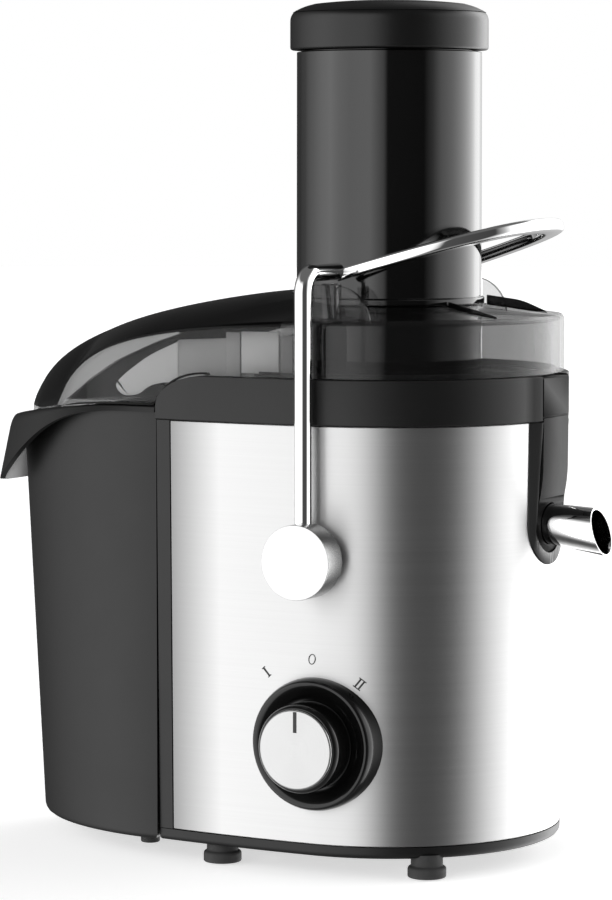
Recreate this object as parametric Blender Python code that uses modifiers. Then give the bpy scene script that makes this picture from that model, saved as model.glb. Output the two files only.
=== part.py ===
"""Centrifugal juicer: drive base, juice bowl, clear lid with feed tube, pusher, bail handle and pulp bin.

Blender 4.5, metres, +Z up. The origin is at the bottom centre of the bounding box. Every piece is built
in the motor's frame, whose vertical axis carries the motor, the filter basket and the feed tube.
+X is the spout end, -X the pulp bin and -Y the control side.
"""
import math

import bmesh
import bpy
from mathutils import Matrix, Vector

MM = 0.001
GAP = 0.3                       # clearance between neighbours, mm

# Driving dimensions, mm, in the motor's frame
MOTOR_X = 45.35                # motor axis from the bounding box's centre
BODY_RADIUS = 80.0              # spout end of the body, seen from above
BODY_LEFT = -78.0               # flat end of the body, where the pulp bin docks
BODY_TAPER = 5.0                # how much narrower each side is at the flat end
BODY_DRAFT = 2.0                # how much narrower the body is at its foot
BASE_Z, STEEL_Z, COLLAR_Z, RIM_Z = 9.0, 14.5, 198.0, 218.0
SEAM_RIM_Z = 203.4              # collar and bin rim at the seam
DIP_REACH = 27.0                # how far from the seam the collar's top curves down
TRIM_X = -71.0                  # where the steel stops short of the flat end
STEEL_WALL, HOUSING_WALL = 0.8, 2.4
BIN_RIGHT, BIN_LENGTH, BIN_HALF = -78.6, 108.2, 74.4
BIN_DRAFT = 12.0                # how much shorter the bin is at its floor
LIP_EDGE_Z, LIP_SHALLOW = 161.5, 2.4    # lowest point of the lip, and how deep it is at its ends
LID_RADIUS, LID_LEFT = 79.0, -178.2
LID_SHOULDER_Z, LID_TOP_Z, HOOD_TOP_Z = 243.1, 248.0, 253.9
CREASE_LEFT = -139.3            # where the lid's side wall runs out into the hood's nose
TUBE_RADIUS, TUBE_WALL, TUBE_LOW, TUBE_TOP = 41.5, 2.5, 205.0, 361.0
CAP_RADIUS, CAP_EDGE_Z, CAP_TOP_Z = 44.5, 377.8, 383.9
PUSHER_RADIUS = 37.8
HANDLE_X, HANDLE_Z = 3.0, 140.0
ROD_Y, ROD_RADIUS, ROD_TOP_Z = 88.0, 3.85, 264.0
GRIP_X, GRIP_Z, GRIP_REACH, GRIP_HALF = 2.4, 262.2, 72.2, 53.0
GRIP_TILT = math.radians(16.4)
FACE_Y = 98.0                   # knob face and the faces of the two pivot caps
KNOB_X, KNOB_Z = 3.0, 58.9
BEZEL_RADIUS, KNOB_RADIUS = 29.3, 19.4
SLOT_HALF, SLOT_INNER, SLOT_Z = 19.0, 14.0, 153.0
SPOUT_SLOPE = math.radians(6.0)
BOWL_RADIUS = 75.6
BASKET_Z = 217.5               # rim of the filter basket
FEET = [(-51.0, -64.0), (46.0, -55.5), (-51.0, 64.0), (46.0, 55.5)]


# ---------------------------------------------------------------- scene

for old in list(bpy.data.objects):
    bpy.data.objects.remove(old, do_unlink=True)

parts = bpy.data.collections.new("centrifugal_juicer")
cutters = bpy.data.collections.new("cutters")
for collection in (parts, cutters):
    bpy.context.scene.collection.children.link(collection)


def empty(name, at, parent=None):
    obj = bpy.data.objects.new(name, None)
    obj.empty_display_size = 20 * MM
    obj.location = Vector(at) * MM
    obj.parent = parent
    parts.objects.link(obj)
    return obj


motor_axis = empty("motor_axis", (MOTOR_X, 0, 0))
handle_pivot = empty("handle_pivot", (HANDLE_X, 0, HANDLE_Z), motor_axis)
knob_axis = empty("knob_axis", (KNOB_X, -BODY_RADIUS, KNOB_Z), motor_axis)


def material(name, color, roughness, metallic=0.0, alpha=1.0):
    mat = bpy.data.materials.new(name)
    mat.use_nodes = True
    shader = mat.node_tree.nodes["Principled BSDF"]
    shader.inputs["Base Color"].default_value = (*color, 1.0)
    shader.inputs["Roughness"].default_value = roughness
    shader.inputs["Metallic"].default_value = metallic
    shader.inputs["Alpha"].default_value = alpha
    return mat


def piece(name, data, mat, parent=motor_axis):
    """A node of the object, or a cutter when it has no material, placed in the motor's frame."""
    obj = bpy.data.objects.new(name, data)
    (parts if mat else cutters).objects.link(obj)
    if mat:
        data.materials.append(mat)
    else:
        obj.hide_render = True
        obj.display_type = "WIRE"
    obj.parent = parent
    if parent is not motor_axis:
        obj.location = -parent.location
    return obj


# ---------------------------------------------------------------- shapes

def shaded(mesh, angle=35):
    mesh.shade_smooth()
    mesh.set_sharp_from_angle(angle=math.radians(angle))
    return mesh


def mesh_of(name, bm):
    bmesh.ops.recalc_face_normals(bm, faces=bm.faces)
    mesh = bpy.data.meshes.new(name)
    bm.to_mesh(mesh)
    bm.free()
    return shaded(mesh)


def turned(name, profile, mat, parent=motor_axis, at=(0, 0, 0), axis="Z", steps=28):
    """A profile of (radius, height) points, down its outer side, turned about a line through `at`."""
    closed = profile[0][0] > 0 or profile[-1][0] > 0
    mesh = bpy.data.meshes.new(name)
    points = [(r * MM, 0, z * MM) for r, z in profile]
    edges = [(i, i + 1) for i in range(len(points) - 1)] + ([(len(points) - 1, 0)] if closed else [])
    mesh.from_pydata(points, edges, [])
    obj = piece(name, mesh, mat, parent)
    obj.location += Vector(at) * MM
    obj.rotation_euler = {"Z": (0, 0, 0), "-Y": (math.pi / 2, 0, 0), "Y": (-math.pi / 2, 0, 0)}[axis]
    screw = obj.modifiers.new("turn", "SCREW")
    screw.steps = screw.render_steps = steps
    screw.use_merge_vertices = True
    screw.merge_threshold = 0.00001
    screw.use_smooth_shade = True
    return obj


def box(name, low, high, mat, parent=motor_axis):
    bm = bmesh.new()
    size = [(b - a) * MM for a, b in zip(low, high)]
    centre = [(a + b) * MM / 2 for a, b in zip(low, high)]
    matrix = Matrix.Translation(centre) @ Matrix.Diagonal((*size, 1))
    bmesh.ops.create_cube(bm, size=1, matrix=matrix)
    return piece(name, mesh_of(name, bm), mat, parent)


def disc(name, centre, axis, radius, length, mat=None, parent=motor_axis, steps=32, tip=None):
    """A cylinder, or a cone when `tip` is given, starting at `centre` and running along `axis`."""
    bm = bmesh.new()
    turn = Vector((0, 0, 1)).rotation_difference(Vector(axis)).to_matrix().to_4x4()
    matrix = Matrix.Translation(Vector(centre) * MM) @ turn @ Matrix.Translation((0, 0, length * MM / 2))
    bmesh.ops.create_cone(bm, cap_ends=True, segments=steps, radius1=radius * MM,
                          radius2=(radius if tip is None else tip) * MM, depth=length * MM, matrix=matrix)
    return piece(name, mesh_of(name, bm), mat, parent)


def plate(name, outline, low, high, mat, facing="Z", parent=motor_axis):
    """A flat outline of (u, v) points extruded from `low` to `high` along X, Y or Z."""
    curve = bpy.data.curves.new(name, "CURVE")
    curve.dimensions = "2D"
    curve.fill_mode = "BOTH"
    curve.extrude = (high - low) * MM / 2
    spline = curve.splines.new("POLY")
    spline.points.add(len(outline) - 1)
    for point, (u, v) in zip(spline.points, outline):
        point.co = (u * MM, v * MM, 0, 1)
    spline.use_cyclic_u = True
    holder = bpy.data.objects.new(name, curve)
    cutters.objects.link(holder)
    bpy.context.view_layer.update()
    mesh = bpy.data.meshes.new_from_object(holder.evaluated_get(bpy.context.evaluated_depsgraph_get()))
    bpy.data.objects.remove(holder)
    bpy.data.curves.remove(curve)
    # columns are where the outline's u, v and its normal point: (Y, Z, X), (X, Z, -Y) or (X, Y, Z)
    turn = {"X": ((0, 0, 1), (1, 0, 0), (0, 1, 0)),
            "Y": ((1, 0, 0), (0, 0, -1), (0, 1, 0)),
            "Z": ((1, 0, 0), (0, 1, 0), (0, 0, 1))}[facing]
    middle = (low + high) / 2 * MM * (-1 if facing == "Y" else 1)
    mesh.transform(Matrix(turn).to_4x4() @ Matrix.Translation((0, 0, middle)))
    mesh.name = name
    bm = bmesh.new()
    bm.from_mesh(mesh)
    bmesh.ops.remove_doubles(bm, verts=bm.verts, dist=0.00001)
    return piece(name, mesh_of(name, bm), mat, parent)


def lofted(name, rings, mat, loop=False, parent=motor_axis):
    """A skin through rings of equal length. `loop` joins last to first; otherwise both ends are capped."""
    bm = bmesh.new()
    rows = [[bm.verts.new(Vector(p) * MM) for p in ring] for ring in rings]
    count = len(rows[0])
    for a, b in zip(rows, rows[1:] + ([rows[0]] if loop else [])):
        for i in range(count):
            j = (i + 1) % count
            bm.faces.new((a[i], a[j], b[j], b[i]))
    if not loop:
        bm.faces.new(rows[0])
        bm.faces.new(rows[-1])
    return piece(name, mesh_of(name, bm), mat, parent)


def wire(name, points, radius, mat, parent=motor_axis, sides=3):
    """A rod along `points`."""
    curve = bpy.data.curves.new(name, "CURVE")
    curve.dimensions = "3D"
    curve.bevel_depth = radius * MM
    curve.bevel_resolution = sides
    curve.use_fill_caps = True
    spline = curve.splines.new("POLY")
    spline.points.add(len(points) - 1)
    for point, co in zip(spline.points, points):
        point.co = (*(Vector(co) * MM), 1)
    return piece(name, curve, mat, parent)


def boolean(obj, tool, operation="DIFFERENCE"):
    modifier = obj.modifiers.new(tool.name, "BOOLEAN")
    modifier.operation = operation
    modifier.object = tool
    return obj


def arc(centre, radius, start, end, steps):
    """Points of an arc, angles in degrees."""
    angles = [math.radians(start + (end - start) * i / steps) for i in range(steps + 1)]
    return [(centre[0] + radius * math.cos(a), centre[1] + radius * math.sin(a)) for a in angles]


def smooth(t):
    t = min(max(t, 0.0), 1.0)
    return t * t * (3 - 2 * t)


# ---------------------------------------------------------------- outlines seen from above

def side_half(x, inset=0.0):
    """Half width of the body left of the motor axis."""
    return BODY_RADIUS - BODY_TAPER * (x / BODY_LEFT) ** 2 - inset


def body_outline(inset=0.0, left=BODY_LEFT, steps=8):
    """The body's plan: a half circle, sides that draw in gently, and a flat left end."""
    right = arc((0, 0), BODY_RADIUS - inset, -90, 90, 3 * steps)
    side = [left * i / steps for i in range(1, steps + 1)]
    back = [(x, side_half(x, inset)) for x in side]
    front = [(x, -side_half(x, inset)) for x in reversed(side)]
    return right + back + front


def bin_outline(inset=0.0, shorten=0.0, steps=24):
    """The bin's plan: flat against the body, drawn out to a blunt nose."""
    right, half = BIN_RIGHT - inset, BIN_HALF - inset
    length = BIN_LENGTH - shorten - 2 * inset
    nose = []
    for i in range(steps + 1):
        a = math.pi * (i / steps - 0.5)
        u, v = abs(math.cos(a)) ** (2 / 1.8), abs(math.sin(a)) ** (2 / 1.8)
        nose.append((right - length * u, math.copysign(half * v, a)))
    return nose


def at_height(outline, z):
    return [(x, y, z) for x, y in outline]


def draft(z):
    """Inset of the body's side at a height."""
    return BODY_DRAFT * (COLLAR_Z - z) / (COLLAR_Z - BASE_Z)


# ---------------------------------------------------------------- materials

MATTE = material("matte_black_plastic", (0.045, 0.045, 0.048), 0.5)
GLOSS = material("gloss_black_plastic", (0.01, 0.01, 0.011), 0.12)
SMOKE = material("smoke_clear_plastic", (0.12, 0.12, 0.125), 0.06, alpha=0.45)
STEEL = material("brushed_steel", (0.62, 0.62, 0.62), 0.3, 1.0)
CHROME = material("chrome", (0.85, 0.85, 0.86), 0.06, 1.0)
ALUMINIUM = material("spun_aluminium", (0.8, 0.8, 0.81), 0.25, 1.0)
RUBBER = material("rubber", (0.02, 0.02, 0.02), 0.8)
IRON = material("motor_iron", (0.3, 0.3, 0.31), 0.5, 0.8)
COPPER = material("copper", (0.7, 0.35, 0.18), 0.35, 0.9)
BOARD = material("circuit_board", (0.03, 0.18, 0.08), 0.5)


# ---------------------------------------------------------------- base and casing

def slot_outline(half, low_z, top_z):
    """The U of the spout slot as (y, z): straight sides over a half circle."""
    return [(half, top_z)] + arc((0, low_z), half, 0, -180, 14) + [(-half, top_z)]


def slot_cutter(name, half, low_x, high_x, low_z=SLOT_Z, top_z=230.0):
    return plate(name, slot_outline(half, low_z, top_z), low_x, high_x, None, "X")


def side_holes(obj, radius_pivot, radius_knob):
    """Holes through both side walls for the handle pivots, and one in front for the knob's shaft."""
    tag = obj.name
    through = disc(tag + "_pivot_hole", (HANDLE_X, -95, HANDLE_Z), (0, 1, 0), radius_pivot, 190)
    knob = disc(tag + "_knob_hole", (KNOB_X, -95, KNOB_Z), (0, 1, 0), radius_knob, 40)
    gland = disc(tag + "_gland_hole", (-40, 60, 30), (0, 1, 0), 7.0, 40)
    for tool in (through, knob, gland):
        boolean(obj, tool)


def make_base_plate():
    levels = [(BASE_Z, 1.2), (BASE_Z + 1.2, 0.0), (STEEL_Z - GAP, 0.0)]
    rings = [at_height(body_outline(draft(z) + extra), z) for z, extra in levels]
    base = lofted("base_plate", rings, MATTE)
    for k in range(5):
        x = -24.0 + 12 * k
        vent = box(f"vent_{k}", (x, -22, BASE_Z - 3), (x + 5, 22, STEEL_Z + 3), None)
        boolean(base, vent)
    return base


def wall_ring(name, low, high, outer, inner, mat):
    """A drafted wall round the body, between two insets from its outside."""
    levels = ((low, outer), (high, outer), (high, inner), (low, inner))
    rings = [at_height(body_outline(draft(z) + inset, BODY_LEFT + inset), z) for z, inset in levels]
    return lofted(name, rings, mat, loop=True)


def make_inner_housing():
    """The moulded casing behind the steel, with the flat end and two corner posts that stay in view."""
    low, high = STEEL_Z, COLLAR_Z - GAP
    behind = STEEL_WALL + GAP
    housing = wall_ring("inner_housing", low, high, behind, behind + HOUSING_WALL, MATTE)
    posts = wall_ring("corner_posts", low, high, 0, behind + HOUSING_WALL, None)
    boolean(posts, box("posts_side", (BODY_LEFT - 5, -90, 0), (TRIM_X, 90, 220), None), "INTERSECT")
    boolean(housing, posts, "UNION")
    boolean(housing, slot_cutter("housing_slot", SLOT_HALF + GAP, 60, 90))
    side_holes(housing, 6.3, 9.0)
    return housing


def make_steel_shell():
    shell = wall_ring("steel_shell", STEEL_Z, COLLAR_Z - GAP, 0, STEEL_WALL, STEEL)
    boolean(shell, box("shell_end", (BODY_LEFT - 5, -90, 0), (TRIM_X + GAP, 90, 220), None))
    boolean(shell, slot_cutter("shell_slot", SLOT_HALF + GAP, 60, 90))
    side_holes(shell, 6.3, 9.0)
    return shell


def make_top_collar():
    """The ring that carries bowl and lid. Its top dips at the flat end, where the pulp leaves."""
    proud = -1.3
    rings = [at_height(body_outline(inset, left=BODY_LEFT + max(inset, 0) * 0.6), z)
             for z, inset in ((COLLAR_Z, proud), (RIM_Z, proud), (RIM_Z, 3.4), (COLLAR_Z, 3.4))]
    collar = lofted("top_collar", rings, MATTE, loop=True)
    curve = [(-100, SEAM_RIM_Z), (BODY_LEFT, SEAM_RIM_Z)]
    curve += [(BODY_LEFT + (1 - math.cos(a)) * DIP_REACH, SEAM_RIM_Z + math.sin(a) * (RIM_Z - SEAM_RIM_Z))
              for a in (math.pi / 2 * k / 8 for k in range(1, 9))]
    curve += [(-50, RIM_Z + 12), (-100, RIM_Z + 12)]
    boolean(collar, plate("collar_dip", curve, -95, 95, None, "Y"))
    boolean(collar, box("collar_chute_gap", (60, -SLOT_INNER, 190), (95, SLOT_INNER, 230), None))
    return collar


def make_spout_surround():
    """The U-shaped trim around the juice chute, let into the steel."""
    r, top = BODY_RADIUS + 0.4, COLLAR_Z - GAP
    profile = [(r, top), (r - BODY_DRAFT / 3, 130), (74.5, 130), (74.5, top)]
    ring = turned("spout_surround", profile, MATTE, steps=96)
    boolean(ring, slot_cutter("surround_outer", SLOT_HALF, 70, 90), "INTERSECT")
    boolean(ring, slot_cutter("surround_inner", SLOT_INNER, 60, 95))
    return ring


def make_feet():
    top = BASE_Z - GAP
    for k, (x, y) in enumerate(FEET, 1):
        foot = [(0, top), (7, top), (7, 5.2), (7.7, 5), (8.5, 4.2), (8.5, 0.8), (7.6, 0), (0, 0)]
        turned(f"foot_{k}", foot, RUBBER, at=(x, y, 0), steps=16)
        screw = [(0, top), (3.4, top), (3.4, top - 1.3), (2.2, top - 2.1), (0, top - 2.1)]
        turned(f"base_screw_{k}", screw, IRON, at=(x * 0.72, y * 0.72, 0), steps=16)


# ---------------------------------------------------------------- juice path

def make_juice_bowl():
    """The bowl under the basket, with the chute that carries juice down to the spout."""
    r = BOWL_RADIUS
    profile = [(r, 217.4), (r, 206), (73.6, 204), (71, 184), (68, 178), (21.4, 168), (21.4, 162), (19, 162),
               (19, 184), (21.4, 184), (21.4, 170.4), (66.5, 180.4), (68.8, 185), (71.6, 205.4),
               (r - 2.2, 207), (r - 2.2, 217.4)]
    bowl = turned("juice_bowl", profile, MATTE, steps=32)
    half = SLOT_INNER - 0.4
    chute = slot_cutter("chute_block", half, 67, 82.4, SLOT_Z, 217.4)
    boolean(chute, box("chute_step", (79.2, -20, 100), (90, 20, 164), None))
    boolean(chute, box("chute_top_step", (60, -20, 203), (71.5, 20, 230), None))
    boolean(bowl, chute, "UNION")
    boolean(bowl, slot_cutter("chute_hollow", half - 2.4, 69.5, 77, SLOT_Z, 200))
    boolean(bowl, box("chute_mouth", (60, -9, 181.5), (72, 9, 198), None))
    axis = Vector((math.cos(SPOUT_SLOPE), 0, -math.sin(SPOUT_SLOPE)))
    boolean(bowl, disc("spout_hole", Vector((80, 0, 152)) - axis * 8, axis, 9.5, 30))
    return bowl


def make_spout():
    """A bright tube that slopes down and ends in a slanted mouth."""
    axis = Vector((math.cos(SPOUT_SLOPE), 0, -math.sin(SPOUT_SLOPE)))
    start = Vector((80, 0, 152)) - axis * 6
    tube = disc("spout", start, axis, 8.9, 40, CHROME, steps=40, tip=10.4)
    boolean(tube, disc("spout_bore", start - axis * 3, axis, 7.6, 46, steps=40, tip=9.6))
    slant = [(99.4, 166), (108.6, 134), (140, 134), (140, 166)]
    boolean(tube, plate("spout_mouth", slant, -20, 20, None, "Y"))
    return tube


def make_bowl_seal():
    return turned("bowl_seal", [(75.4, 220), (75.4, 217.7), (73.6, 217.7), (73.6, 220)], RUBBER, steps=36)


# ---------------------------------------------------------------- lid, feed tube and pusher

def rim_z(x):
    """Height of the bin's rim, which sinks towards the nose."""
    return SEAM_RIM_Z - 11.0 * max(0.0, (-x - 100.0) / 87.6) ** 1.6


def lid_edge(x):
    """Height of the lid's lower edge: above the collar, down its dip and along the bin's rim."""
    if x > BODY_LEFT + DIP_REACH - 2:
        return RIM_Z + 2 * GAP
    if x < BODY_LEFT:
        return rim_z(x) + 3 * GAP
    c = 1 - (x - BODY_LEFT) / (DIP_REACH - 2)
    return SEAM_RIM_Z + 3 * GAP + math.sqrt(max(1 - c * c, 0)) * (RIM_Z - SEAM_RIM_Z)


def lid_half(x):
    """Half width of the lid at x, left of the motor axis."""
    if x >= BODY_LEFT:
        return side_half(x, 1.0)
    u = min((x - BODY_LEFT) / (LID_LEFT - BODY_LEFT), 1.0)
    return side_half(BODY_LEFT, 1.0) * (1 - u ** 1.98) ** (1 / 1.98)


def lid_outline(angle):
    """Plan point of the lid's edge in a direction from the motor axis."""
    dx, dy = math.cos(angle), math.sin(angle)
    if dx >= 0:
        return LID_RADIUS * dx, LID_RADIUS * dy
    low, high = 0.0, 220.0
    for _ in range(40):
        mid = (low + high) / 2
        inside = abs(mid * dy) < lid_half(mid * dx) and mid * dx > LID_LEFT
        low, high = (mid, high) if inside else (low, mid)
    return low * dx, low * dy


def crease_z(x):
    """Height where the lid's side wall turns into its top."""
    run = max(x - CREASE_LEFT, 0.0)
    start = rim_z(CREASE_LEFT)
    return start + (LID_SHOULDER_Z - start) * (1 - math.exp(-(run / 27.8) ** 0.79))


def roof_z(x, y):
    """Height of the hood over a plan point: a ridge line that arches down to the crease."""
    u = min(max((x - LID_LEFT) / (-TUBE_RADIUS - 2.2 - LID_LEFT), 0.0), 1.0)
    nose = rim_z(LID_LEFT) + 1.5
    ridge = nose + (HOOD_TOP_Z - nose) * (1 - (1 - u) ** 1.245) ** 0.375
    low = max(crease_z(x), lid_edge(min(x, CREASE_LEFT)) + 1.0)
    return ridge - (ridge - low) * min(abs(y) / max(lid_half(min(x, 0)), 0.01), 1.0) ** 2.05


def make_lid():
    """Clear cover: a drum round the basket that runs on into the hood over the pulp bin."""
    around, bore = 72, TUBE_RADIUS + 2.2
    rings = []
    steps = [0.012, 0.035, 0.08, 0.15, 0.25, 0.4, 0.6, 0.8, 1.0]
    for k in range(-2, len(steps)):
        ring = []
        for i in range(around):
            x, y = lid_outline(2 * math.pi * i / around)
            edge = lid_edge(x)
            top = max(crease_z(x), edge + 1.0)
            if k < 0:
                ring.append((x, y, edge if k == -2 else top - 0.4))
                continue
            s = steps[k]
            angle = 2 * math.pi * i / around
            px, py = x + (bore * math.cos(angle) - x) * s, y + (bore * math.sin(angle) - y) * s
            drum = top + (LID_TOP_Z - top) * (0.2 + 0.8 * s if s > 0.02 else 0.1)
            hood = smooth((-x - 5) / 55)
            ring.append((px, py, drum + (roof_z(px, py) - drum) * hood))
        rings.append(ring)
    bm = bmesh.new()
    rows = [[bm.verts.new(Vector(p) * MM) for p in ring] for ring in rings]
    for a, b in zip(rows, rows[1:]):
        for i in range(around):
            j = (i + 1) % around
            bm.faces.new((a[i], a[j], b[j], b[i]))
    lid = piece("lid", mesh_of("lid", bm), SMOKE)
    wall = lid.modifiers.new("wall", "SOLIDIFY")
    wall.thickness = 2.2 * MM
    wall.offset = -1
    for side in (-1, 1):
        arch = [(-2, 241), (-2, 258.6)] + arc((9, 241), 17.2, 88, 5, 8) + [(26.1, 241)]
        near, far = sorted((side * 70.0, side * 72.6))
        boolean(lid, plate(f"latch_rib_{side}", arch, near, far, None, "Y"), "UNION")
        near, far = sorted((side * 68.0, side * 74.4))
        boolean(lid, box(f"latch_post_{side}", (3.4, near, 241.2), (10.6, far, 259.4), None), "UNION")
    return lid


def make_feed_tube():
    r = TUBE_RADIUS
    inner = r - TUBE_WALL
    profile = [(r, TUBE_TOP), (r, 251.4), (r + 1.6, 251.4), (r + 1.6, 248.5), (r + 0.4, 248.5),
               (r + 0.4, 240), (r, 236), (r, TUBE_LOW), (inner, TUBE_LOW), (inner, TUBE_TOP)]
    return turned("feed_tube", profile, GLOSS, steps=40)


def make_pusher():
    r, wall, foot = PUSHER_RADIUS, 2.2, TUBE_LOW + 1
    top, inner = TUBE_TOP + 0.2, r - wall
    sleeve = [(r, top), (r, foot + 2), (r - 2, foot), (0, foot), (0, foot + wall), (inner, foot + wall),
              (inner, top)]
    turned("pusher_sleeve", sleeve, SMOKE)
    dome = [(0, CAP_TOP_Z)]
    for a in (math.pi / 2 * k / 8 for k in range(1, 8)):
        dome.append((CAP_RADIUS * math.sin(a) * 0.97, CAP_EDGE_Z + 1.8 + 4.3 * math.cos(a) ** 1.2))
    low = TUBE_TOP + 2 * GAP
    cap = dome + [(CAP_RADIUS - 0.6, CAP_EDGE_Z + 0.9), (CAP_RADIUS, CAP_EDGE_Z - 0.6), (CAP_RADIUS, low),
                  (0, low)]
    turned("pusher_cap", cap, MATTE, steps=40)


# ---------------------------------------------------------------- handle

def make_handle():
    """A wire bail that carries a flat loop round the feed tube and locks the lid down."""
    for side, word in ((-1, "front"), (1, "rear")):
        bend = 9.0
        corner = arc((0, 0), bend, 0, 90, 5)
        rise = [(HANDLE_X - 1.2, side * ROD_Y, HANDLE_Z + 16.8)]
        turn = [(HANDLE_X - 1.2, side * (ROD_Y - bend + c), ROD_TOP_Z - bend + s) for c, s in corner]
        end = (HANDLE_X - 0.6, side * (GRIP_HALF + 5.3), ROD_TOP_Z)
        wire(f"handle_arm_{word}", rise + turn + [end], ROD_RADIUS, CHROME, handle_pivot)
        tilt = "-Y" if side < 0 else "Y"
        at = (HANDLE_X, side * BODY_RADIUS, HANDLE_Z)
        reach = FACE_Y - BODY_RADIUS
        cap = [(0, reach), (14.6, reach), (15.8, reach - 0.5), (16.3, reach - 1.7), (16.3, 4.2), (0, 4.2)]
        turned(f"pivot_cap_{word}", cap, CHROME, handle_pivot, at, tilt, 32)
        pin = [(0, 3.9), (3.0, 3.9), (3.0, -9), (0, -9)]
        turned(f"pivot_pin_{word}", pin, IRON, handle_pivot, at, tilt, 12)
        bush = [(9, 3.6), (9, 0.5), (6, 0.5), (6, -7.5), (3.3, -7.5), (3.3, 3.6)]
        turned(f"pivot_bush_{word}", bush, MATTE, motor_axis, at, tilt, 16)
    make_grip()


def make_grip():
    """The flat loop: an oblong section swept round half an oval, rising towards the spout."""
    rings = []
    steps = 28
    slope = math.tan(GRIP_TILT)
    for i in range(steps + 1):
        a = math.pi * (i / steps - 0.5)
        x = GRIP_X + GRIP_REACH * max(math.cos(a), 0.0)
        y = math.copysign(GRIP_HALF * abs(math.sin(a)) ** 0.8, a)
        z = GRIP_Z + (x - GRIP_X) * slope
        tangent = Vector((-GRIP_REACH * math.sin(a), GRIP_HALF * math.cos(a), 0)).normalized()
        across = Vector((tangent.y, -tangent.x, tangent.y * slope)).normalized()
        lift = across.cross(Vector((tangent.x, tangent.y, tangent.x * slope)).normalized())
        lift = lift if lift.z > 0 else -lift
        turns = [2 * math.pi * k / 10 for k in range(10)]
        section = [(5.0 * math.cos(t), 2.6 * math.sin(t)) for t in turns]
        rings.append([Vector((x, y, z)) + across * u + lift * v for u, v in section])
    return lofted("handle_grip", rings, CHROME, parent=handle_pivot)


# ---------------------------------------------------------------- controls

def make_knob():
    at = (KNOB_X, -BODY_RADIUS, KNOB_Z)
    profile = [(27.9, 4.6), (BEZEL_RADIUS, 2.6), (BEZEL_RADIUS, -9), (9.5, -9), (9.5, 0.8), (20.5, 0.8),
               (25.6, 4.0)]
    ring = turned("knob_bezel", profile, GLOSS, motor_axis, at, "-Y", 32)
    body = lofted("body_shape", [at_height(body_outline(draft(z) - GAP), z) for z in (STEEL_Z, 120)], None)
    boolean(ring, body)
    top = FACE_Y - BODY_RADIUS
    skirt = [(0, top - 1.3), (17.6, top - 1.3), (KNOB_RADIUS - 0.6, top - 2.0), (KNOB_RADIUS, top - 3.2),
             (KNOB_RADIUS, 1.6), (0, 1.6)]
    turned("knob_skirt", skirt, GLOSS, knob_axis, at, "-Y")
    cap = [(0, top), (16.9, top), (17.4, top - 0.4), (17.4, top - 1.0), (0, top - 1.0)]
    turned("knob_cap", cap, ALUMINIUM, knob_axis, at, "-Y")
    turned("knob_shaft", [(0, 1.3), (3, 1.3), (3, -7.5), (0, -7.5)], IRON, knob_axis, at, "-Y", 20)


def make_electrics():
    box("switch_body", (KNOB_X - 13, -71, KNOB_Z - 15), (KNOB_X + 13, -50, KNOB_Z + 15), MATTE)
    box("control_board", (-68, -30, 60), (-66.4, 30, 130), BOARD)
    box("interlock_switch", (HANDLE_X - 10, -72, HANDLE_Z + 14), (HANDLE_X + 10, -64, HANDLE_Z + 26), MATTE)
    gland = [(9, 2.6), (9, 0.6), (6.6, 0.6), (6.6, -6), (3.4, -6), (3.4, 2.6)]
    turned("cord_gland", gland, RUBBER, at=(-40, side_half(-40, draft(30)), 30), axis="Y", steps=24)


# ---------------------------------------------------------------- motor and basket

def make_motor():
    turned("motor_stator", [(44, 128), (44, 76), (25, 76), (25, 128)], IRON)
    turned("armature", [(24.4, 130), (24.4, 74), (4.6, 74), (4.6, 130)], COPPER, steps=32)
    turned("commutator", [(12, 66), (12, 54), (4.6, 54), (4.6, 66)], COPPER, steps=32)
    turned("motor_shaft", [(0, 177), (4.3, 177), (4.3, 30), (0, 30)], STEEL, steps=16)
    for word, low in (("lower", 38), ("upper", 150)):
        turned(f"{word}_bearing", [(11, low + 7), (11, low), (4.6, low), (4.6, low + 7)], STEEL, steps=32)
        span = plate(f"{word}_bracket", bracket_outline(), low - 3.5 - GAP, low - GAP, IRON)
        boolean(span, disc(f"{word}_bracket_hole", (0, 0, low - 10), (0, 0, 1), 8, 20))
    for k in range(4):
        a = math.radians(45 + 90 * k)
        x, y = 56 * math.cos(a), 56 * math.sin(a)
        post = [(0, 146), (5, 146), (5, 38.1), (0, 38.1)]
        turned(f"motor_mount_{k + 1}", post, RUBBER, at=(x, y, 0), steps=16)
    for side, word in ((-1, "front"), (1, "rear")):
        near, far = sorted((side * 13.0, side * 26.0))
        box(f"brush_holder_{word}", (-4, near, 56), (4, far, 64), COPPER)
    blades = []
    for k in range(12):
        a = 30 * k
        blades += arc((0, 0), 34, a, a + 8, 2) + arc((0, 0), 18, a + 12, a + 26, 2)
    fan = plate("cooling_fan", blades, 133, 141, MATTE)
    boolean(fan, disc("fan_bore", (0, 0, 125), (0, 0, 1), 4.6, 25))


def bracket_outline():
    """A cross-shaped plate seen from above."""
    quarter = [(66, -12), (66, 12), (46, 14), (40, 40), (14, 46)]
    return [point for k in range(4) for point in turned_quarter(quarter, k)]


def turned_quarter(points, k):
    for _ in range(k):
        points = [(-y, x) for x, y in points]
    return points


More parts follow.
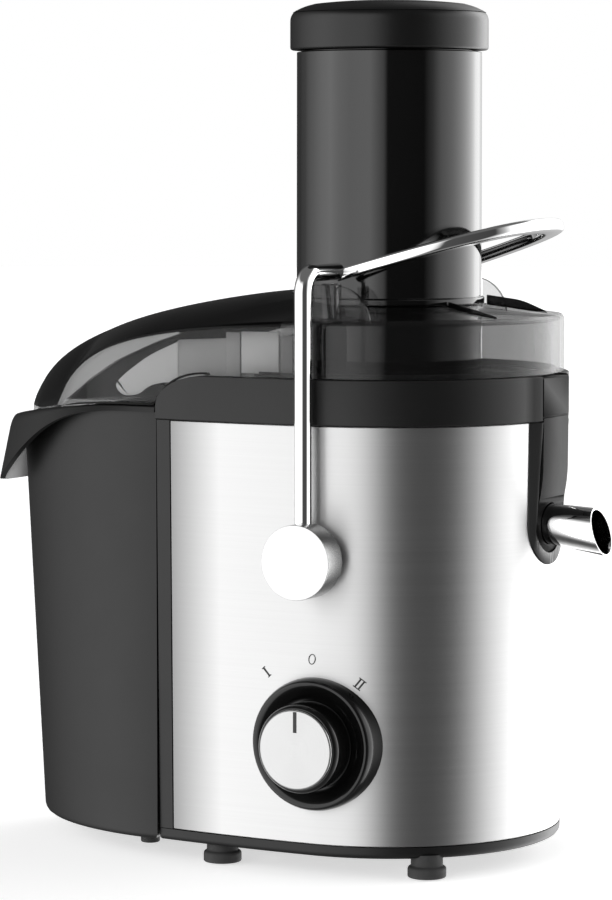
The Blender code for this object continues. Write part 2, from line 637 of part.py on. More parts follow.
def make_basket():
    turned("drive_coupling", [(0, 191), (11.5, 191), (12.2, 190), (12.2, 177.4), (0, 177.4)], MATTE, steps=24)
    hub = [(17, 192.4), (17, 186), (12.6, 186), (12.6, 191.3), (0, 191.3), (0, 192.4)]
    turned("basket_hub", hub, MATTE, steps=32)
    rim = BASKET_Z - 2.6
    cone = [(68, BASKET_Z), (68, rim), (65, rim - 1.4), (46, 192.7), (0, 192.7), (0, 193.9), (45, 193.9),
            (64, rim), (64, BASKET_Z)]
    turned("filter_basket", cone, STEEL, steps=36)
    blade = turned("grating_disc", [(0, 196), (40, 196), (40, 194.3), (0, 194.3)], STEEL, steps=32)
    for k in range(12):
        a = math.radians(30 * k)
        reach = 14 + 22 * ((k * 5) % 12) / 12
        at = (reach * math.cos(a), reach * math.sin(a), 195)
        boolean(blade, disc(f"tooth_{k}", at, (0, 0, 1), 1.6, 3.2, steps=6, tip=0.5), "UNION")


# ---------------------------------------------------------------- pulp bin

def make_pulp_bin():
    wall, ledge, floor = 2.0, 5.0, 2.4
    outer = [(BASE_Z, 2.5, 1.0), (BASE_Z + 2.5, 0.4, 1.0), (80, 0, 0.64), (150, 0, 0.28)]
    rings = [at_height(bin_outline(inset, BIN_DRAFT * part), z) for z, inset, part in outer]
    for inset, drop in ((0, 0), (ledge, 0), (ledge, 2.4), (wall, 5.4)):
        rings.append([(x, y, rim_z(x) - drop) for x, y in bin_outline(inset)])
    inner = [(80, wall, 0.64), (BASE_Z + floor, wall + 1, 1.0)]
    rings += [at_height(bin_outline(inset, BIN_DRAFT * part), z) for z, inset, part in inner]
    pulp_bin = lofted("pulp_bin", rings, MATTE)
    boolean(pulp_bin, make_bin_lip(), "UNION")
    for side in (-1, 1):
        nub = disc(f"bin_nub_{side}", (-103, side * 38, 0), (0, 0, 1), 4.4, BASE_Z + 1, steps=20)
        boolean(pulp_bin, nub, "UNION")
    # The wall beside the body stops low: pulp comes in over it, and it passes under the lid's nose.
    spill = [(-69, 215), (-69, 198), (-66, 190), (-58, 186), (58, 186), (66, 190), (69, 198), (69, 215)]
    boolean(pulp_bin, plate("spill_gap", spill, -90, BIN_RIGHT + 1, None, "X"))


def make_bin_lip():
    """An awning round the bin's rim that deepens into a pull at the nose."""
    outline, thick = bin_outline(0.4), 1.8
    deepest = rim_z(BIN_RIGHT - BIN_LENGTH) - LIP_EDGE_Z - LIP_SHALLOW
    sections = []
    for k, (x, y) in enumerate(outline):
        before, after = outline[max(k - 1, 0)], outline[min(k + 1, len(outline) - 1)]
        tangent = Vector((after[0] - before[0], after[1] - before[1], 0)).normalized()
        out = Vector((-tangent.y, tangent.x, 0))
        side = min(abs(y) / BIN_HALF, 1.0)
        top = rim_z(x)
        reach = 1.4 + 9.8 * (1 - side ** 4)
        drop = LIP_SHALLOW + deepest * (1 - side ** 4) ** 3.15
        curve = [(0, 0), (0.34, 0.02), (0.45, 0.08), (0.54, 0.24), (1.0, 1.0)]
        skin = [(reach * u + 0.3, top - drop * v) for u, v in curve]
        inside = [((reach - thick) * u - 0.4, top - thick - (drop - thick) * v) for u, v in curve]
        loop = [(-0.8, top)] + skin[1:] + inside[:0:-1] + [(-0.8, top - thick)]
        sections.append([Vector((x, y, 0)) + out * u + Vector((0, 0, z)) for u, z in loop])
    return lofted("bin_lip", sections, None)


make_base_plate()
make_inner_housing()
make_steel_shell()
make_top_collar()
make_spout_surround()
make_feet()
make_juice_bowl()
make_spout()
make_bowl_seal()
make_lid()
make_feed_tube()
make_pusher()
make_handle()
make_knob()
make_electrics()
make_motor()
make_basket()
make_pulp_bin()
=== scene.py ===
"""Looks of the centrifugal juicer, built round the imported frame.

Lengths in the builders below are millimetres from the motor axis at worktop level; AXIS puts them in the
frame. +X is the spout end, -X the pulp bin, -Y the dial side.
"""
import math

import bmesh
import bpy
from mathutils import Matrix, Vector


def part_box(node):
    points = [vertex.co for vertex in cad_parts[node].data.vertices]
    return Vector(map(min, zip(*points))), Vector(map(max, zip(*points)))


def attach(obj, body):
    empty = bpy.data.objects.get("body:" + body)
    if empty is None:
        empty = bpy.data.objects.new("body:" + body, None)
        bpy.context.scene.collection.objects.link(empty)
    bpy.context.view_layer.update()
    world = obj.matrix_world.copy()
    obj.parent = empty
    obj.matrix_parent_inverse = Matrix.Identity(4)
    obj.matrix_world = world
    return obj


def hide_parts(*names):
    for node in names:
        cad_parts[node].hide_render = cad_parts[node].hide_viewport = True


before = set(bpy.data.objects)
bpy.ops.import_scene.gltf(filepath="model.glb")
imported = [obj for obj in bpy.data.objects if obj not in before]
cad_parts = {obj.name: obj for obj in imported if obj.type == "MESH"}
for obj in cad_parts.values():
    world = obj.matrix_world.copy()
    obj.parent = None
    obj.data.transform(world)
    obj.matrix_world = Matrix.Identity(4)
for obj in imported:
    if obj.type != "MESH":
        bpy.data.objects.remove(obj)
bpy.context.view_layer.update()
MM = 0.001
tube_low, tube_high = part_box("feed_tube")
AXIS = Vector(((tube_low.x + tube_high.x) / 2, 0, 0))


# ---------------------------------------------------------------- sizes read from the frame, mm

def cad(node):
    """Lowest and highest corner of a CAD node, in mm from the motor axis."""
    low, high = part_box(node)
    return (low - AXIS) / MM, (high - AXIS) / MM


TUBE_LOW, TUBE_TOP, TUBE_R = cad("feed_tube")[0].z, cad("feed_tube")[1].z, 41.5
STEEL_LOW, STEEL_TOP, TRIM_X = cad("steel_shell")[0].z, cad("steel_shell")[1].z, cad("steel_shell")[0].x
BASE_Z, COLLAR_Z, RIM_Z = cad("base_plate")[0].z, cad("top_collar")[0].z, cad("top_collar")[1].z
CAP_LOW, CAP_TOP, CAP_R = cad("pusher_cap")[0].z, cad("pusher_cap")[1].z, cad("pusher_cap")[1].x
FACE_Y = -cad("knob_cap")[0].y
BODY_R, BODY_LEFT, BODY_TAPER, BODY_DRAFT = 80.0, -78.0, 5.0, 2.0
SEAM_Z, DIP = 203.4, 27.0
LID_R, LID_LEFT, CREASE_LEFT = 79.0, -178.2, -139.3
SHOULDER_Z, DRUM_TOP_Z, HOOD_TOP_Z = 243.1, 248.0, 253.9
BIN_RIGHT, BIN_LEN, BIN_HALF, BIN_DRAFT = -78.6, 108.2, 74.4, 12.0
LIP_EDGE_Z, LIP_SHALLOW = 161.5, 2.4
SLOT_HALF, SLOT_LOW, TRIM_HALF, TRIM_INNER, CHUTE_HALF = 19.3, 153.0, 19.0, 14.0, 13.6
SWELL_LOW, SWELL_HIGH, SWELL_RUN = 150.0, 172.0, 5.0
SPOUT_X, SPOUT_Z, SPOUT_TILT = 80.0, 152.0, math.radians(6)
PIVOT_X, PIVOT_Z, FACE_BACK_Y = 3.0, 140.0, 80.0
ROD_X, ROD_Y, ROD_R, ROD_TOP_Z, ROD_BEND = 1.8, 88.0, 3.85, 264.0, 9.0
GRIP_X, GRIP_Z, GRIP_REACH, GRIP_HALF, GRIP_SLOPE = 2.4, 262.2, 72.2, 53.0, math.tan(math.radians(16.4))
KNOB_X, KNOB_Z, SKIRT_R, KNOB_FACE_R = 3.0, 58.9, 19.4, 17.4
NUB_X, NUB_Y = -103.0, 38.0
CAMERA_REACH, CAMERA_Z, CAMERA_LENS = 1649.0, 312.6, 146.2
CAMERA_AZIMUTH, CAMERA_HEADING, CAMERA_DIP = 26.0, 27.3, 4.54


# ---------------------------------------------------------------- materials

def add_node(tree, kind, inputs=None, **props):
    """A node with its properties set, and its inputs linked or given a value."""
    node = tree.nodes.new(kind)
    for key, value in props.items():
        setattr(node, key, value)
    for key, value in (inputs or {}).items():
        if isinstance(value, bpy.types.NodeSocket):
            tree.links.new(value, node.inputs[key])
        else:
            node.inputs[key].default_value = value
    return node


class Nodes:
    """A Principled material and short calls for the nodes that feed it."""

    def __init__(self, name, color, rough, metal=0.0, **sockets):
        self.mat = bpy.data.materials.new(name)
        self.mat.use_nodes = True
        self.tree = self.mat.node_tree
        self.shader = self.tree.nodes["Principled BSDF"]
        self.put("Base Color", (*color, 1))
        self.put("Roughness", rough)
        self.put("Metallic", metal)
        for socket, value in sockets.items():
            self.put(socket.replace("_", " "), value)
        self.coord = self.add("ShaderNodeTexCoord").outputs["Object"]

    def put(self, socket, value):
        self.shader.inputs[socket].default_value = value

    def add(self, kind, inputs=None, **props):
        return add_node(self.tree, kind, inputs, **props)

    def link(self, output, socket):
        self.tree.links.new(output, self.shader.inputs[socket])

    def stretched(self, scale):
        return self.add("ShaderNodeMapping", {"Vector": self.coord, "Scale": scale}).outputs["Vector"]

    def noise(self, scale, detail=3.0, vector=None, rough=0.5):
        inputs = {"Vector": vector or self.coord, "Scale": scale, "Detail": detail, "Roughness": rough}
        return self.add("ShaderNodeTexNoise", inputs).outputs["Fac"]

    def range(self, value, low, high, start=0.0, end=1.0):
        inputs = {"Value": value, "From Min": start, "From Max": end, "To Min": low, "To Max": high}
        return self.add("ShaderNodeMapRange", inputs).outputs["Result"]

    def math(self, operation, a, b=0.0):
        return self.add("ShaderNodeMath", {0: a, 1: b}, operation=operation).outputs[0]

    def mix(self, factor, a, b):
        return self.add("ShaderNodeMix", {0: factor, 6: a, 7: b}, data_type="RGBA").outputs[2]

    def bump(self, height, distance, strength=1.0):
        node = self.add("ShaderNodeBump", {"Height": height, "Distance": distance, "Strength": strength})
        self.link(node.outputs["Normal"], "Normal")

    def split(self):
        return self.add("ShaderNodeSeparateXYZ", {0: self.coord}).outputs

    def brush_round(self):
        """Runs the brushing round the piece's own Z axis."""
        self.link(self.add("ShaderNodeTangent", direction_type="RADIAL", axis="Z").outputs[0], "Tangent")


def grey(value, alpha=1.0):
    return (value, value, value, alpha)


def moulded(name, value, rough, shine=0.28):
    """Moulded plastic: fine spark-eroded grain, faint flow marks and a little rub on its shine."""
    m = Nodes(name, (value, value, value), rough, Specular_IOR_Level=shine)
    flow = m.noise(9.0, 4.0)
    m.link(m.mix(flow, grey(value * 0.86), grey(value * 1.14)), "Base Color")
    m.link(m.range(m.noise(45.0, 5.0), rough * 0.86, rough * 1.16), "Roughness")
    m.bump(m.noise(2600.0, 2.0), 0.00003)
    return m.mat


def glossy(name, value, rough=0.07, shine=0.55):
    """Polished dark plastic with the slight waviness of a moulding."""
    m = Nodes(name, (value, value, value), rough, Specular_IOR_Level=shine)
    m.link(m.mix(m.noise(6.0), grey(value * 0.8), grey(value * 1.2)), "Base Color")
    m.link(m.range(m.noise(60.0, 4.0), rough * 0.7, rough * 1.5), "Roughness")
    m.bump(m.noise(14.0, 1.0), 0.00012, 0.35)
    return m.mat


def smoked(name, value, alpha, rough=0.05, shine=0.6):
    """Smoke-tinted clear plastic, a little uneven in tint and polish."""
    m = Nodes(name, (value, value, value), rough, Specular_IOR_Level=shine)
    m.put("Alpha", alpha)
    m.link(m.mix(m.noise(12.0, 2.0), grey(value * 0.8), grey(value * 1.25)), "Base Color")
    m.link(m.range(m.noise(70.0, 4.0), rough * 0.7, rough * 1.6), "Roughness")
    return m.mat


def brushed():
    """Stainless sheet brushed round the body in long level lines, with painted shade darkening it towards the
    seam by the bin.
    """
    m = Nodes("brushed_steel_round", (0.46, 0.46, 0.46), 0.46, 1.0, Anisotropic=0.78,
              Anisotropic_Rotation=0.25)
    m.brush_round()
    lines = m.noise(1.0, 2.0, m.stretched((14.0, 14.0, 5200.0)), 0.6)
    broad = m.noise(1.0, 3.0, m.stretched((5.0, 5.0, 600.0)), 0.6)
    both = m.math("MULTIPLY", m.math("ADD", lines, broad), 0.5)
    metal = m.mix(both, grey(0.46), grey(0.58))
    # painted shade: the base colour fades towards black over the 25 mm before the seam by the bin
    seam = m.range(m.split()[0], 0.42, 1.0, (TRIM_X + 1.0) * MM, (TRIM_X + 26.0) * MM)
    m.link(m.mix(seam, grey(0.0), metal), "Base Color")
    m.link(m.range(both, 0.4, 0.52), "Roughness")
    m.bump(lines, 0.000012, 0.5)
    return m.mat


def chromed():
    """Bright plate with faint handling marks."""
    rough = 0.035
    m = Nodes("chrome_plate", (0.86, 0.86, 0.87), rough, 1.0)
    smudge = m.noise(28.0, 5.0)
    m.link(m.mix(smudge, grey(0.82), grey(0.9)), "Base Color")
    m.link(m.range(smudge, rough * 0.6, rough * 2.2, 0.4, 0.75), "Roughness")
    return m.mat


def spun(name, value, rough, rings=5200.0):
    """Metal faced on a lathe: rings round the piece's own Z axis."""
    m = Nodes(name, (value, value, value), rough, 1.0, Anisotropic=0.85, Anisotropic_Rotation=0.25)
    m.brush_round()
    x, y, _ = m.split()
    radius = m.math("SQRT", m.math("ADD", m.math("MULTIPLY", x, x), m.math("MULTIPLY", y, y)))
    inputs = {"W": m.math("MULTIPLY", radius, rings), "Scale": 1.0, "Detail": 3.0}
    line = m.add("ShaderNodeTexNoise", inputs, noise_dimensions="1D").outputs["Fac"]
    m.link(m.mix(line, grey(value * 0.86), grey(min(value * 1.1, 0.98))), "Base Color")
    m.link(m.range(line, rough * 0.75, rough * 1.3), "Roughness")
    m.bump(line, 0.00001, 0.5)
    return m.mat


def rubbery():
    """Dull rubber with a coarse grain."""
    m = Nodes("foot_rubber", (0.02, 0.02, 0.02), 0.75)
    m.link(m.mix(m.noise(60.0, 5.0), grey(0.014), grey(0.035)), "Base Color")
    m.link(m.range(m.noise(300.0, 4.0), 0.62, 0.88), "Roughness")
    m.bump(m.noise(1500.0, 3.0), 0.00006)
    return m.mat


def layered(name, dark, light, rough, metal, scale):
    """Stacked sheet or wound wire: bands across the piece's height."""
    m = Nodes(name, light, rough, metal)
    inputs = {"Vector": m.coord, "Scale": scale, "Distortion": 0.4, "Detail": 2.0}
    band = m.add("ShaderNodeTexWave", inputs, bands_direction="Z").outputs["Fac"]
    m.link(m.mix(band, (*dark, 1), (*light, 1)), "Base Color")
    m.link(m.range(m.noise(90.0), rough * 0.8, rough * 1.2), "Roughness")
    m.bump(band, 0.0002, 0.8)
    return m.mat


def board():
    """Solder mask with tracks and pads."""
    m = Nodes("solder_mask", (0.03, 0.18, 0.08), 0.35)
    inputs = {"Vector": m.coord, "Scale": 260.0}
    cells = m.add("ShaderNodeTexVoronoi", inputs, distance="MANHATTAN").outputs["Distance"]
    m.link(m.mix(m.range(cells, 0, 1, 0.1, 0.14), (0.7, 0.6, 0.3, 1), (0.02, 0.16, 0.07, 1)), "Base Color")
    m.link(m.range(cells, 0.25, 0.5), "Roughness")
    return m.mat


def sieve():
    """Etched stainless sieve: a fine field of holes, drawn as painted shade in the base colour with a bump.
    """
    m = Nodes("sieve_steel", (0.6, 0.6, 0.61), 0.3, 1.0)
    inputs = {"Vector": m.coord, "Scale": 700.0, "Randomness": 0.15}
    cells = m.add("ShaderNodeTexVoronoi", inputs).outputs["Distance"]
    hole = m.range(cells, 0.0, 1.0, 0.25, 0.33)
    # painted shade: the holes are near-black colour, not openings
    m.link(m.mix(hole, grey(0.02), grey(0.62)), "Base Color")
    m.link(m.range(m.noise(120.0), 0.24, 0.38), "Roughness")
    m.bump(hole, 0.0002, 0.7)
    return m.mat


MATTE = moulded("matte_black_plastic", 0.006, 0.38)
CAP_BLACK = moulded("satin_cap_plastic", 0.005, 0.32, shine=0.3)
BOWL_BLACK = moulded("bowl_plastic", 0.004, 0.46, shine=0.045)
GLOSS = glossy("gloss_black_plastic", 0.004, 0.1, shine=0.35)
TUBE_BLACK = glossy("smoked_tube_plastic", 0.002, 0.06)
SMOKE_WALL = smoked("smoke_wall", 0.006, 0.38)
SMOKE_TOP = smoked("smoke_top", 0.006, 0.5)
# Painted shade: a near-black, almost opaque copy of the smoke plastic for the hood roof and the lid's lowest
# row by the bin.
SMOKE_ROOF_PAINTED_SHADE = smoked("smoke_roof_painted_shade", 0.001, 0.98, 0.1, shine=0.09)
# Painted light: a pale copy of the smoke plastic for the band under the hood's crease.
SMOKE_BRIM_PAINTED_LIGHT = smoked("smoke_brim_painted_light", 0.28, 0.55, 0.12)
SMOKE_LINER = smoked("smoke_liner", 0.004, 0.5, 0.1, shine=0.2)
RIB_FACE = smoked("rib_face", 0.02, 0.2)
RIB_EDGE = smoked("rib_edge", 0.002, 0.92, 0.2, shine=0.1)
GUIDE = smoked("guide_plastic", 0.5, 0.9, 0.2, shine=0.2)
# Pale plastic for the hood pane and the guide window; on the pane it is painted light for the brightness seen
# through the hood.
GUIDE_PALE = smoked("guide_window_plastic", 0.78, 0.95, 0.2, shine=0.2)
SMOKE_SIDE = smoked("smoke_side", 0.006, 0.2)
STEEL = brushed()
CHROME = chromed()
PIVOT_METAL = spun("pivot_face_metal", 0.52, 0.24, 2600.0)
KNOB_METAL = spun("knob_face_metal", 0.4, 0.24)
RUBBER = rubbery()
SHEET_METAL = spun("turned_steel", 0.55, 0.3, 900.0)
IRON = layered("lamination_iron", (0.1, 0.1, 0.11), (0.32, 0.32, 0.34), 0.5, 0.7, 260.0)
COPPER = layered("wound_copper", (0.3, 0.12, 0.05), (0.78, 0.4, 0.2), 0.35, 0.8, 380.0)
BOARD = board()
SIEVE = sieve()
INK = moulded("dial_ink", 0.03, 0.5)


# ---------------------------------------------------------------- building

SHARP = 38


def shade(mesh, sharp):
    """Smooth shading with creases over an angle in degrees."""
    mesh.shade_smooth()
    mesh.set_sharp_from_angle(angle=math.radians(sharp))


def place(name, data):
    """An object in the scene, at the origin."""
    obj = bpy.data.objects.new(name, data)
    bpy.context.scene.collection.objects.link(obj)
    return obj


def piece(name, mesh, material, body, stands_for=(), at=(0, 0, 0), turn=(0, 0, 0)):
    """An object at a place given in mm from the motor axis, riding on a body."""
    shade(mesh, SHARP)
    obj = place(name, mesh)
    for mat in material if isinstance(material, list) else [material]:
        mesh.materials.append(mat)
    obj.rotation_euler = turn
    obj.location = AXIS + Vector(at) * MM
    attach(obj, body)
    if stands_for:
        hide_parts(*stands_for)
    return obj


def to_mesh(name, bm, recalc=True):
    """A mesh datablock from a bmesh, with its faces turned outwards."""
    if recalc:
        bmesh.ops.recalc_face_normals(bm, faces=bm.faces)
    mesh = bpy.data.meshes.new(name)
    bm.to_mesh(mesh)
    bm.free()
    return mesh


def eased(points, steps=5):
    """A polyline whose corners with a third value are rounded by that length."""
    result = []
    count = len(points)
    for i, point in enumerate(points):
        here = Vector(point[:2])
        if len(point) < 3 or i in (0, count - 1):
            result.append(tuple(here))
            continue
        before, after = Vector(points[i - 1][:2]), Vector(points[i + 1][:2])
        start = here + (before - here).normalized() * point[2]
        end = here + (after - here).normalized() * point[2]
        for k in range(steps + 1):
            t = k / steps
            result.append(tuple(start * (1 - t) ** 2 + here * 2 * t * (1 - t) + end * t * t))
    return result


def skin(rings, loop=False, caps=True):
    """A bmesh through rings of equal length, in mm."""
    bm = bmesh.new()
    rows = [[bm.verts.new(Vector(p) * MM) for p in ring] for ring in rings]
    count = len(rows[0])
    for a, b in zip(rows, rows[1:] + ([rows[0]] if loop else [])):
        for i in range(count):
            j = (i + 1) % count
            bm.faces.new((a[i], a[j], b[j], b[i]))
    if caps and not loop:
        bm.faces.new(rows[0])
        bm.faces.new(rows[-1])
    return bm


def lathe(name, profile, steps=128, loop=False):
    """A mesh turned about Z from (radius, height) points in mm."""
    angles = [2 * math.pi * i / steps for i in range(steps)]
    rings = [[(r * math.cos(a), r * math.sin(a), z) for a in angles] for r, z in profile]
    return to_mesh(name, skin(rings, loop))


def ring_of(outline, z):
    """A flat outline lifted to a height."""
    return [(x, y, z) for x, y in outline]


def rectangle(left, right, low, high):
    return [(left, low), (right, low), (right, high), (left, high)]


def arc(cx, cy, r, start, end, steps):
    """Points of an arc between two angles in degrees."""
    angles = [math.radians(start + (end - start) * i / steps) for i in range(steps + 1)]
    return [(cx + r * math.cos(a), cy + r * math.sin(a)) for a in angles]


def smooth(t):
    """Eased step from 0 to 1."""
    t = min(max(t, 0.0), 1.0)
    return t * t * (3 - 2 * t)


def boolean(obj, tool_mesh, operation="DIFFERENCE"):
    """Cuts or joins with a mesh, and applies the result."""
    bpy.context.view_layer.update()
    tool = place("tool", tool_mesh)
    tool.matrix_world = obj.matrix_world
    bpy.context.view_layer.update()
    modifier = obj.modifiers.new("cut", "BOOLEAN")
    modifier.object = tool
    modifier.solver = "MANIFOLD"
    modifier.operation = operation
    settle(obj)
    bpy.data.objects.remove(tool)


def settle(obj, sharp=SHARP):
    """Applies an object's modifiers."""
    bpy.context.view_layer.update()
    graph = bpy.context.evaluated_depsgraph_get()
    mesh = bpy.data.meshes.new_from_object(obj.evaluated_get(graph))
    obj.modifiers.clear()
    obj.data = mesh
    shade(mesh, sharp)


def prism(name, outline, low, high, facing):
    """A closed mesh from a flat outline, extruded along X, Y or Z."""
    order = {"X": (2, 0, 1), "Y": (0, 2, 1), "Z": (0, 1, 2)}[facing]
    rings = [[[(u, v, w)[k] for k in order] for u, v in outline] for w in (low, high)]
    return to_mesh(name, skin(rings))


def softened(obj, width, segments=3, angle=40):
    """Small machine-like rounding of an object's sharp edges, applied."""
    bevel = obj.modifiers.new("edges", "BEVEL")
    bevel.width = width * MM
    bevel.segments = segments
    bevel.limit_method = "ANGLE"
    bevel.angle_limit = math.radians(angle)
    bevel.harden_normals = True
    settle(obj)
    return obj


def along(name, points, radius, sides):
    """A round rod along points, in mm."""
    rings = []
    angles = [2 * math.pi * k / sides for k in range(sides)]
    for i, p in enumerate(points):
        before, after = Vector(points[max(i - 1, 0)]), Vector(points[min(i + 1, len(points) - 1)])
        tangent = (after - before).normalized()
        u = tangent.cross(Vector((1, 0, 0))).normalized()
        v = tangent.cross(u)
        rings.append([Vector(p) + (u * math.cos(a) + v * math.sin(a)) * radius for a in angles])
    return to_mesh(name, skin(rings))


# ---------------------------------------------------------------- body

def side_half(x, inset=0.0):
    """Half width of the body at x, left of the motor axis."""
    return BODY_R - BODY_TAPER * (x / BODY_LEFT) ** 2 - inset


def body_outline(inset=0.0, left=BODY_LEFT, steps=24):
    """Plan of the body: a half circle round the motor and sides that close in a little towards the bin."""
    side = [(x, side_half(x, inset)) for x in (left * i / steps for i in range(1, steps + 1))]
    return arc(0, 0, BODY_R - inset, -90, 90, 4 * steps) + side + [(x, -y) for x, y in reversed(side)]


def draft(z):
    """How far the body draws in at a height."""
    return BODY_DRAFT * (COLLAR_Z - z) / (COLLAR_Z - BASE_Z)


def slot_outline(half, top=240.0):
    """The U of the juice slot, seen along X."""
    return [(half, top)] + arc(0, SLOT_LOW, half, 0, -180, 40) + [(-half, top)]


def make_steel():
    """The wrap-round sheet, with eased edges and the U cut for the chute."""
    low, high, wall, ease = STEEL_LOW, STEEL_TOP, 0.8, 0.35
    levels = [(low, ease), (low + ease, 0.0), (high - ease, 0.0), (high, ease), (high, wall), (low, wall)]
    rings = [ring_of(body_outline(draft(z) + inset, TRIM_X + 0.4), z) for z, inset in levels]
    shell = piece("steel_wrap", to_mesh("steel_wrap", skin(rings, loop=True)), STEEL, "base", ["steel_shell"])
    boolean(shell, prism("end", rectangle(-90, TRIM_X + 1.2, -70, 70), 0, 230, "Z"))
    boolean(shell, prism("slot", slot_outline(SLOT_HALF), 60, 95, "X"))


def make_collar():
    """Matte ring over the steel, dipping to the bin's rim at the seam."""
    proud, inner, low = -1.3, 3.4, COLLAR_Z
    levels = [(low, inner), (low, -0.9), (low + 0.4, proud), (RIM_Z - 0.9, proud),
              (RIM_Z - 0.3, proud + 0.25), (RIM_Z, proud + 0.9), (RIM_Z, inner)]
    rings = [ring_of(body_outline(inset, BODY_LEFT + max(inset, 0) * 0.6), z) for z, inset in levels]
    mesh = to_mesh("collar_ring", skin(rings, loop=True))
    collar = piece("collar_ring", mesh, MATTE, "base", ["top_collar"])
    curve = [(-110, SEAM_Z), (BODY_LEFT, SEAM_Z)]
    curve += [(BODY_LEFT + (1 - math.cos(a)) * DIP, SEAM_Z + math.sin(a) * (RIM_Z - SEAM_Z))
              for a in (math.pi / 2 * k / 24 for k in range(1, 25))]
    curve += [(-49, RIM_Z + 12), (-110, RIM_Z + 12)]
    boolean(collar, prism("dip", curve, -95, 95, "Y"))
    boolean(collar, prism("gap", rectangle(-TRIM_INNER, TRIM_INNER, 190, 230), 60, 95, "X"))
    swell(collar, 78, 20.0, 1.9)


def make_base():
    """Base pan with a row of vents."""
    z = BASE_Z
    levels = [(z, 6.0), (z, 2.2), (z + 0.6, 0.9), (z + 1.6, 0.2), (z + 2.6, 0.0), (STEEL_LOW - 0.3, 0.0)]
    rings = [ring_of(body_outline(draft(h) + inset), h) for h, inset in levels]
    base = piece("base_pan", to_mesh("base_pan", skin(rings)), MATTE, "base", ["base_plate"])
    for k in range(5):
        x = -21.5 + 12 * k
        slot = arc(x, 19.5, 2.5, 0, 180, 12) + arc(x, -19.5, 2.5, 180, 360, 12)
        boolean(base, prism("vent", slot, z - 4, z + 12, "Z"))


def make_surround():
    """U-shaped trim let into the steel. Its legs rise to meet the chute between them."""
    ring = lathe("slot_trim", [(74.6, 130), (80.0, 130), (80.4, 197.7), (74.6, 197.7)], 720, loop=True)
    trim = piece("slot_trim", ring, MATTE, "base", ["spout_surround"])
    boolean(trim, prism("outer", slot_outline(TRIM_HALF), 70, 92, "X"), "INTERSECT")
    boolean(trim, prism("inner", slot_outline(TRIM_INNER), 60, 95, "X"))
    swell(trim, 77, TRIM_HALF, 3.2)
    softened(trim, 0.3, 2, 50)


def swell(obj, least_x, half, rise):
    """Raises the faces past least_x towards the chute, up the swell and from half the width inwards."""
    for vertex in obj.data.vertices:
        x, y, z = vertex.co / MM
        if x > least_x:
            across = min(max((half - abs(y)) / SWELL_RUN, 0.0), 1.0)
            vertex.co.x += rise * MM * across * smooth((z - SWELL_LOW) / (SWELL_HIGH - SWELL_LOW))


def make_feet():
    profile = eased([(0, 0), (6.8, 0), (8.5, 0.2, 0.8), (8.5, 4.6, 0.9), (7.1, 5.4, 0.4), (7.0, 10.6),
                     (0, 10.6)], 4)
    for k in range(1, 5):
        low, high = cad(f"foot_{k}")
        centre = ((low.x + high.x) / 2, (low.y + high.y) / 2, 0)
        piece(f"rubber_foot_{k}", lathe("foot", profile, 64), RUBBER, "base", [f"foot_{k}"], centre)


# ---------------------------------------------------------------- juice path

def make_bowl():
    """Bowl and chute. The chute's face shows between the legs of the trim."""
    r = 75.6
    profile = eased([(19, 162), (21.4, 162), (21.4, 168, 1), (68, 178, 4), (71, 184, 3), (73.6, 204, 1),
                     (r, 206, 1), (r, 217.4), (r - 2.2, 217.4), (r - 2.2, 207, 1), (71.6, 205.4, 1),
                     (68.8, 185, 2), (66.5, 180.4, 2), (21.4, 170.4, 1), (21.4, 184), (19, 184)], 4)
    bowl = piece("bowl_moulding", lathe("bowl", profile, 160, loop=True), BOWL_BLACK, "base", ["juice_bowl"])
    boolean(bowl, chute_mesh(), "UNION")
    boolean(bowl, prism("hollow", slot_outline(CHUTE_HALF - 2.4, 200), 69.5, 77, "X"))
    boolean(bowl, prism("mouth", rectangle(-9, 9, 181.5, 198), 60, 72, "X"))
    hole = lathe("hole", [(9.4, -9), (9.4, 30)], 64)
    tilt = Matrix.Rotation(math.pi / 2 + SPOUT_TILT, 4, "Y")
    hole.transform(Matrix.Translation(Vector((SPOUT_X, 0, SPOUT_Z)) * MM) @ tilt)
    boolean(bowl, hole)


def chute_mesh():
    """The block that the chute is hollowed from, with a groove at the cover's seam."""
    curve = eased([(67, 217.4), (81.6, 217.4), (82.4, 216.6), (82.4, 200.3), (82.0, 200.1), (82.0, 199.7),
                   (82.4, 199.4), (82.2, 176), (81.6, 168, 6), (79.2, 158, 6), (79.2, 120), (67, 120)], 8)
    chute = place("chute", prism("chute", curve, -CHUTE_HALF, CHUTE_HALF, "Y"))
    chute.location = AXIS
    boolean(chute, prism("u", slot_outline(CHUTE_HALF), 60, 95, "X"), "INTERSECT")
    boolean(chute, prism("step", rectangle(60, 71.5, 203, 230), -20, 20, "Y"))
    softened(chute, 0.5, 3, 50)
    mesh = chute.data
    bpy.data.objects.remove(chute)
    return mesh


